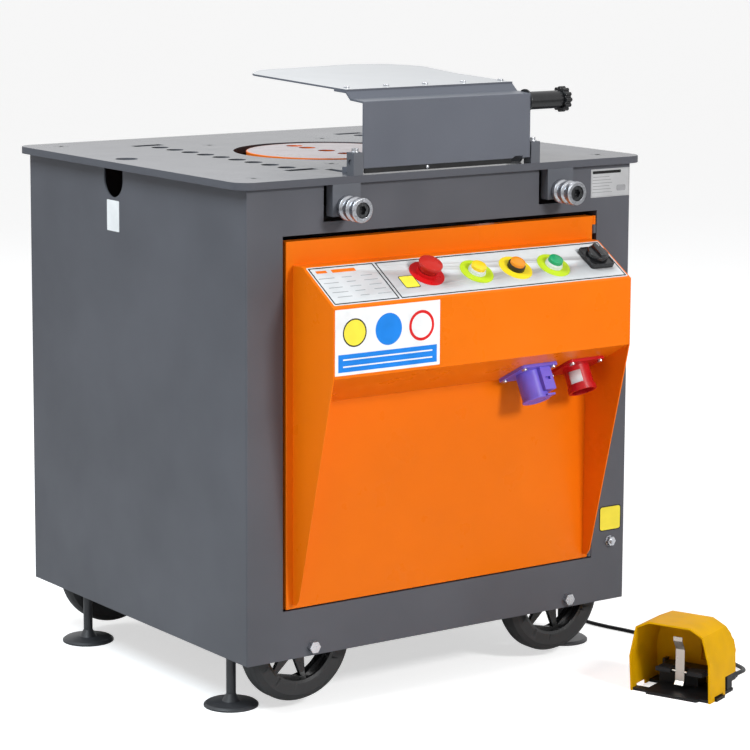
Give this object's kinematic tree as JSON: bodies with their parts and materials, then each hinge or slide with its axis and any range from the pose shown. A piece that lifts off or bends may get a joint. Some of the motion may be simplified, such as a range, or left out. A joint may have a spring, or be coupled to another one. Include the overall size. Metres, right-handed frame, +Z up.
{
  "type": "rebar bending machine",
  "caption": "Square steel bending table with a turning disc, pin holes, hinged guard, side rollers, orange console door, wheels and a foot pedal on a cable.",
  "frame": {"origin": "centre of the disc's middle bore at the disc's top face, level with the table", "axes": "+Z up along the disc's axis, +X to the right seen from the door, +Y from the door to the rear"},
  "size_m": [0.9053, 1.044, 1.0159],
  "materials": {
    "table_steel": "ground",
    "zinc": "bright zinc",
    "cabinet_paint": "satin",
    "orange_paint": "gloss",
    "guard_paint": "satin",
    "guard_plate": "satin",
    "gear_steel": "machined",
    "casting": "painted",
    "motor_paint": "painted",
    "tyre": "matt",
    "foot_steel": "satin",
    "black_plastic": "satin",
    "black_gloss": "gloss",
    "legend_colours": "satin",
    "bezel_plastic": "clear rings",
    "red_plastic": "gloss",
    "yellow_plastic": "gloss",
    "amber_plastic": "gloss",
    "green_plastic": "gloss",
    "violet_plastic": "satin",
    "inlet_red": "satin",
    "pedal_yellow": "satin",
    "latch_metal": "pressed",
    "cable_rubber": "matt",
    "grey_plastic": "satin"
  },
  "bodies": {
    "machine": {"table_top": "table_steel", "table_screws": "zinc", "front_panel": "cabinet_paint", "left_panel": "cabinet_paint", "right_panel": "cabinet_paint", "rear_panel": "cabinet_paint", "base_rail_front": "cabinet_paint", "base_rail_rear": "cabinet_paint", "wheel_bolts": "zinc", "earth_bolt": "zinc", "roller_lugs": "casting", "roller_screws": "zinc", "gearbox_housing": "casting", "gearbox_cover": "casting", "motor": "motor_paint", "guard_posts": "casting", "post_screws": "zinc", "guard_pins": "zinc", "guard_switch": "black_plastic", "door_hinges": "cabinet_paint", "cable_gland": "grey_plastic", "pedal_hood": "pedal_yellow", "pedal_base": "black_plastic", "pedal_cable": "cable_rubber"},
    "disc": {"bending_disc": "orange_paint", "spindle": "gear_steel", "bull_gear": "gear_steel"},
    "pinion": {"pinion_shaft": "gear_steel"},
    "guard": {"guard_bracket": "guard_paint", "guard_sheet": "guard_plate", "guard_screws": "zinc", "guard_handle": "black_plastic"},
    "guard_knob": {"handle_knob": "black_plastic"},
    "left_roller": {"roller_left": "zinc"},
    "right_roller": {"roller_right": "zinc"},
    "front_left_wheel": {"wheel_front_left": "tyre"},
    "front_right_wheel": {"wheel_front_right": "tyre"},
    "rear_left_wheel": {"wheel_rear_left": "tyre"},
    "rear_right_wheel": {"wheel_rear_right": "tyre"},
    "front_left_foot": {"foot_front_left": "foot_steel"},
    "front_right_foot": {"foot_front_right": "foot_steel"},
    "rear_left_foot": {"foot_rear_left": "foot_steel"},
    "rear_right_foot": {"foot_rear_right": "foot_steel"},
    "door": {"door_leaf": "orange_paint", "console": "orange_paint", "legend_discs": "legend_colours", "button_bezels": "bezel_plastic", "switch_plate": "black_gloss", "outlet_body": "violet_plastic", "inlet_body": "inlet_red", "socket_screws": "zinc", "contactors": "grey_plastic"},
    "stop_head": {"estop_head": "red_plastic"},
    "yellow_button": {"button_yellow": "yellow_plastic"},
    "amber_button": {"button_amber": "amber_plastic"},
    "green_button": {"button_green": "green_plastic"},
    "rotary_knob": {"switch_knob": "black_gloss"},
    "lid": {"outlet_lid": "violet_plastic"},
    "treadle": {"pedal_treadle": "black_plastic"},
    "latch": {"pedal_latch": "latch_metal"}
  },
  "joints": [
    {"name": "disc_turn", "type": "hinge", "parent": "machine", "child": "disc", "pos_m": [0, 0, 0], "axis": [0, 0, 1], "continuous": true},
    {"name": "pinion_turn", "type": "hinge", "parent": "machine", "child": "pinion", "pos_m": [0, 0.155, 0], "axis": [0, 0, 1], "continuous": true},
    {"name": "guard_hinge", "type": "hinge", "parent": "machine", "child": "guard", "pos_m": [0, -0.355, 0.02], "axis": [1, 0, 0], "range_deg": [0, 95]},
    {"name": "knob_turn", "type": "hinge", "parent": "guard", "child": "guard_knob", "pos_m": [0.232, -0.348, 0.1025], "axis": [1, 0, 0], "continuous": true},
    {"name": "roller_left_spin", "type": "hinge", "parent": "machine", "child": "left_roller", "pos_m": [-0.2105, -0.365, -0.05], "axis": [0, 1, 0], "continuous": true},
    {"name": "roller_right_spin", "type": "hinge", "parent": "machine", "child": "right_roller", "pos_m": [0.2245, -0.365, -0.05], "axis": [0, 1, 0], "continuous": true},
    {"name": "door_hinge", "type": "hinge", "parent": "machine", "child": "door", "pos_m": [0.3126, -0.347, -0.4], "axis": [0, 0, 1], "range_deg": [0, 90]},
    {"name": "estop_push", "type": "slide", "parent": "door", "child": "stop_head", "axis": [0, 0.5274, -0.8496], "range_m": [0, 0.005]},
    {"name": "rotary_turn", "type": "hinge", "parent": "door", "child": "rotary_knob", "pos_m": [0.259, -0.41678, -0.16231], "axis": [0, -0.5274, 0.8496], "range_deg": [0, 90]},
    {"name": "outlet_lid_hinge", "type": "hinge", "parent": "door", "child": "lid", "pos_m": [0.1435, -0.4305, -0.37468], "axis": [-1, 0, 0], "range_deg": [0, 110], "stiffness_Nm_per_rad": 0.012, "springref_deg": -28.65},
    {"name": "treadle_hinge", "type": "hinge", "parent": "machine", "child": "treadle", "pos_m": [0.34834, -0.58055, -0.838], "axis": [0.3714, -0.9285, 0], "range_deg": [0, 8], "stiffness_Nm_per_rad": 6, "springref_deg": -3.44},
    {"name": "latch_hinge", "type": "hinge", "parent": "treadle", "child": "latch", "pos_m": [0.30655, -0.59726, -0.837], "axis": [-0.3714, 0.9285, 0], "range_deg": [0, 20], "stiffness_Nm_per_rad": 0.15, "springref_deg": -11.46},
    {"name": "yellow_button_push", "type": "slide", "parent": "door", "child": "yellow_button", "axis": [0, 0.5274, -0.8496], "range_m": [0, 0.0035], "stiffness_N_per_m": 800, "springref_m": -0.001},
    {"name": "amber_button_push", "type": "slide", "parent": "door", "child": "amber_button", "axis": [0, 0.5274, -0.8496], "range_m": [0, 0.0035], "stiffness_N_per_m": 800, "springref_m": -0.001},
    {"name": "green_button_push", "type": "slide", "parent": "door", "child": "green_button", "axis": [0, 0.5274, -0.8496], "range_m": [0, 0.0035], "stiffness_N_per_m": 800, "springref_m": -0.001},
    {"name": "wheel_front_left_spin", "type": "hinge", "parent": "machine", "child": "front_left_wheel", "pos_m": [-0.2645, -0.297, -0.7603], "axis": [0, 1, 0], "continuous": true},
    {"name": "foot_front_left_raise", "type": "slide", "parent": "machine", "child": "front_left_foot", "axis": [0, 0, 1], "range_m": [0, 0.03]},
    {"name": "wheel_front_right_spin", "type": "hinge", "parent": "machine", "child": "front_right_wheel", "pos_m": [0.2645, -0.297, -0.7603], "axis": [0, 1, 0], "continuous": true},
    {"name": "foot_front_right_raise", "type": "slide", "parent": "machine", "child": "front_right_foot", "axis": [0, 0, 1], "range_m": [0, 0.03]},
    {"name": "wheel_rear_left_spin", "type": "hinge", "parent": "machine", "child": "rear_left_wheel", "pos_m": [-0.2645, 0.297, -0.7603], "axis": [0, 1, 0], "continuous": true},
    {"name": "foot_rear_left_raise", "type": "slide", "parent": "machine", "child": "rear_left_foot", "axis": [0, 0, 1], "range_m": [0, 0.03]},
    {"name": "wheel_rear_right_spin", "type": "hinge", "parent": "machine", "child": "rear_right_wheel", "pos_m": [0.2645, 0.297, -0.7603], "axis": [0, 1, 0], "continuous": true},
    {"name": "foot_rear_right_raise", "type": "slide", "parent": "machine", "child": "rear_right_foot", "axis": [0, 0, 1], "range_m": [0, 0.03]}
  ],
  "couplings": [
    {"joint": "pinion_turn", "follows": "disc_turn", "ratio": -2.4444}
  ]
}
